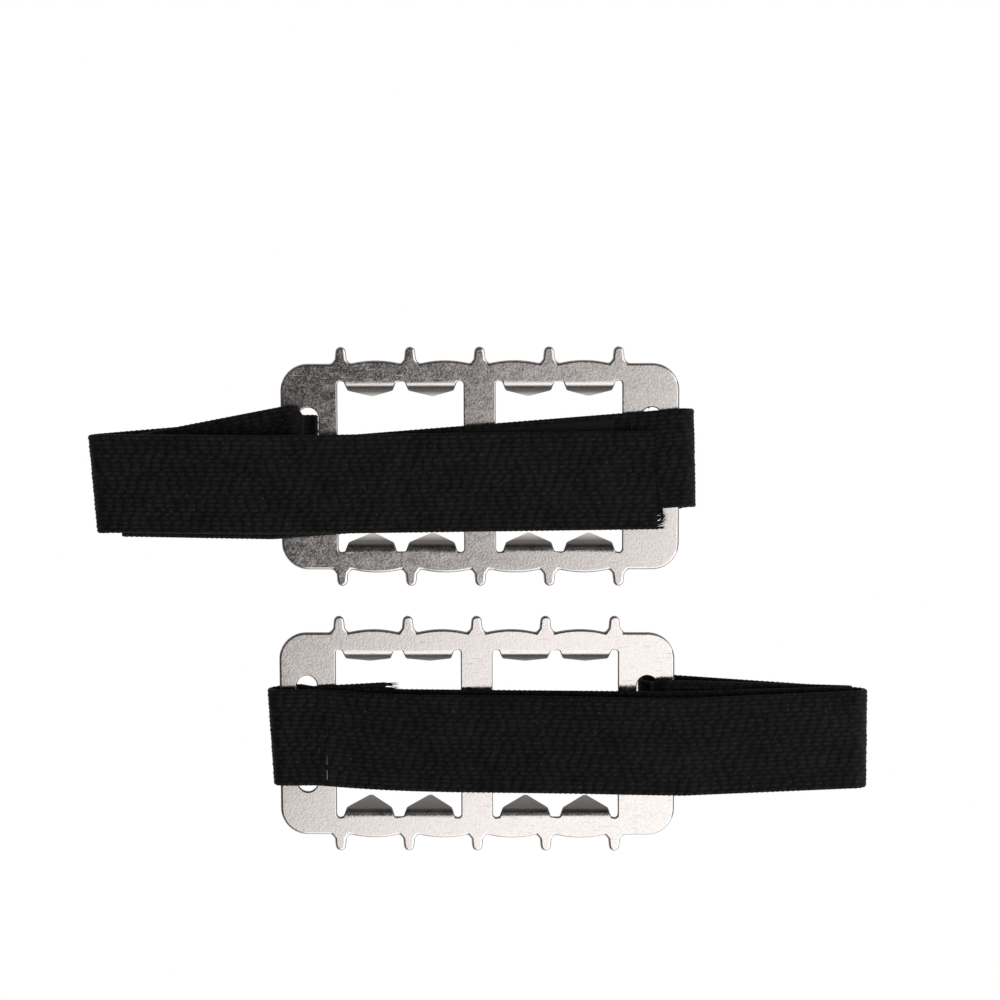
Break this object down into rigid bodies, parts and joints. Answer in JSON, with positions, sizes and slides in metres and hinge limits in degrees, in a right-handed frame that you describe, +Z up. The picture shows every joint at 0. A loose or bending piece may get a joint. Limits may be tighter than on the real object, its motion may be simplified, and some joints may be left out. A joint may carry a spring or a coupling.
{
  "type": "ice cleat pair",
  "caption": "Strap-on ice cleats lying side by side: toothed sheet-steel plates with windows and edge spikes, each on a black webbing strap with a hook-and-loop flap.",
  "frame": {"origin": "middle of the pair's box, on the ground under the tooth tips", "axes": "+X along the plates towards the lower cleat's folded strap, +Y across the plates from the lower cleat to the upper one, +Z up from the tooth tips to the straps"},
  "size_m": [0.1584, 0.1038, 0.0135],
  "materials": {
    "stainless": "tumbled satin with fine grain and light scratches",
    "webbing": "black woven webbing with coarse ribs",
    "tape": "black hook-and-loop tape",
    "thread": "black sewing thread",
    "seam_thread": "grey sewing thread"
  },
  "bodies": {
    "upper_cleat": {"upper_spike_plate": "stainless", "upper_sewn_run": "webbing", "upper_sewn_crease": "webbing", "upper_bar_seam": "seam_thread", "upper_loop_tape": "tape", "upper_loop_stitching": "thread", "upper_free_crease": "webbing", "upper_flap_root": "webbing", "upper_flap_bend": "webbing"},
    "upper_loop": {"upper_bar_bend": "webbing", "upper_inner_fold": "webbing", "upper_outer_fold": "webbing"},
    "upper_flap": {"upper_flap": "webbing", "upper_hook_tape": "tape", "upper_hook_stitching": "thread"},
    "lower_cleat": {"lower_spike_plate": "stainless", "lower_sewn_run": "webbing", "lower_sewn_crease": "webbing", "lower_bar_seam": "seam_thread", "lower_loop_tape": "tape", "lower_loop_stitching": "thread", "lower_free_crease": "webbing", "lower_free_run": "webbing", "lower_hook_tape": "tape", "lower_hook_stitching": "thread"},
    "lower_loop": {"lower_bar_bend": "webbing", "lower_inner_fold": "webbing", "lower_outer_fold": "webbing"}
  },
  "joints": [
    {"name": "upper_loop_swing", "type": "hinge", "parent": "upper_cleat", "child": "upper_loop", "pos_m": [-0.03886, 0.0275, 0.00687], "axis": [0, 1, 0], "range_deg": [0, 90], "deforming": ["upper_sewn_crease", "upper_free_crease"]},
    {"name": "upper_flap_peel", "type": "hinge", "parent": "upper_cleat", "child": "upper_flap", "pos_m": [-0.01216, 0.0253, 0.01313], "axis": [0, -1, 0], "range_deg": [0, 105], "deforming": ["upper_flap_bend"]},
    {"name": "lower_cleat_lift", "type": "slide", "parent": "upper_cleat", "child": "lower_cleat", "axis": [0, 0, 1], "range_m": [0, 0.06]},
    {"name": "lower_loop_swing", "type": "hinge", "parent": "lower_cleat", "child": "lower_loop", "pos_m": [0.03784, -0.0275, 0.00687], "axis": [0, -1, 0], "range_deg": [0, 90], "deforming": ["lower_sewn_crease", "lower_free_crease"]}
  ]
}
